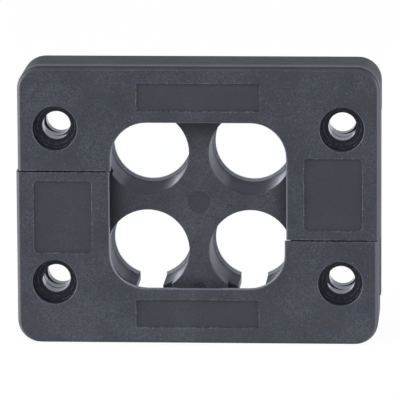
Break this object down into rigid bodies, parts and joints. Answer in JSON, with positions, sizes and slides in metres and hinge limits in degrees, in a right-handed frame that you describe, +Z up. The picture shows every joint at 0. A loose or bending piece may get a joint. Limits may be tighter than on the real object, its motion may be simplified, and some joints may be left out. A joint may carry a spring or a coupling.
{
  "type": "cable entry plate",
  "caption": "Split cable entry plate: interlocking frame halves trap an insert with round, side-slotted cable holes, and counterbored corner screws clamp both to a panel.",
  "frame": {"origin": "centre of the footprint, on the surface that the plate's lower edge stands on", "axes": "+X to the right seen from the front, +Y from the front face into the panel, +Z up"},
  "size_m": [0.09, 0.0252, 0.0695],
  "materials": {
    "frame_plastic": "dark blue-grey moulded polyamide with a fine matt grain",
    "insert_plastic": "dark grey moulded polyamide, slightly browner and smoother than the frame"
  },
  "bodies": {
    "root": {"upper_frame_half": "frame_plastic", "lower_frame_half": "frame_plastic", "cable_insert": "insert_plastic"}
  },
  "joints": []
}
